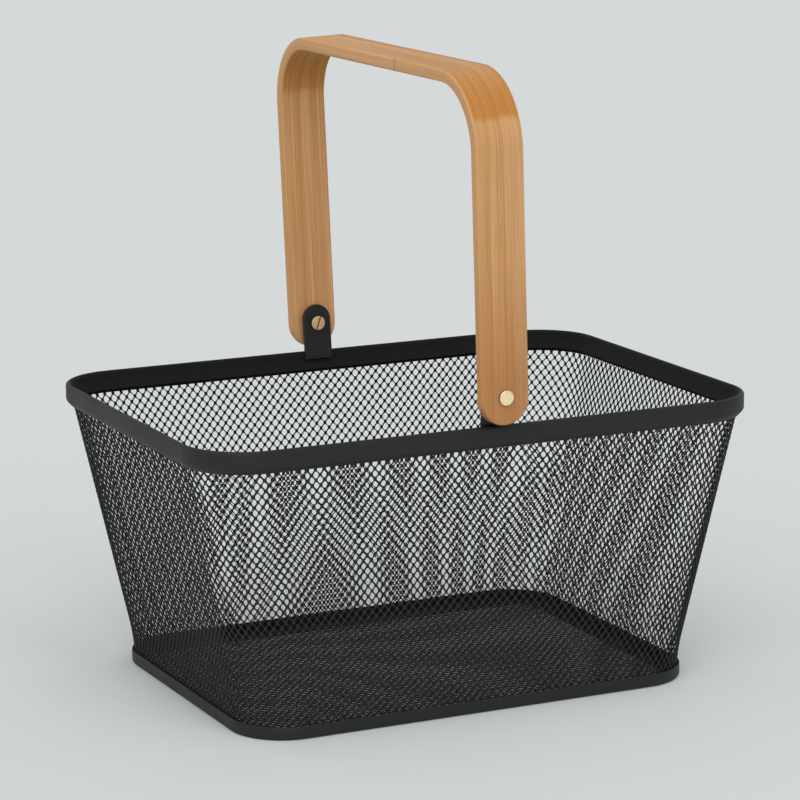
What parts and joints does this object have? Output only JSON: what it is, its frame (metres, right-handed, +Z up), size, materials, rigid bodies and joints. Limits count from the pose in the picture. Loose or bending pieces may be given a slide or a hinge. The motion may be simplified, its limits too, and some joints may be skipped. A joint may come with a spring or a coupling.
{
  "type": "mesh basket",
  "caption": "Oblong open-mesh steel basket with tapered walls, a folded rim and a bent bamboo carrying handle that swings on brass screws.",
  "frame": {"origin": "centre of the base, on the surface that the basket stands on", "axes": "+X along the basket, +Y across it and along the handle's swing axis, +Z up"},
  "size_m": [0.32, 0.2446, 0.3364],
  "materials": {
    "black_steel": "matte black powder coat",
    "bamboo": "satin lacquer",
    "brass": "polished"
  },
  "bodies": {
    "basket": {"top_rim": "black_steel", "base_rim": "black_steel", "floor_mesh": "black_steel", "front_wall_mesh": "black_steel", "back_wall_mesh": "black_steel", "left_wall_mesh": "black_steel", "right_wall_mesh": "black_steel", "front_left_corner_mesh": "black_steel", "front_right_corner_mesh": "black_steel", "back_left_corner_mesh": "black_steel", "back_right_corner_mesh": "black_steel", "front_ear": "black_steel", "back_ear": "black_steel", "front_post": "brass", "back_post": "brass", "front_screw": "brass", "back_screw": "brass"},
    "handle": {"handle": "bamboo"}
  },
  "joints": [
    {"name": "handle_swing", "type": "hinge", "parent": "basket", "child": "handle", "pos_m": [0, 0, 0.172], "axis": [0, 1, 0], "range_deg": [-88.5, 92.5]}
  ]
}
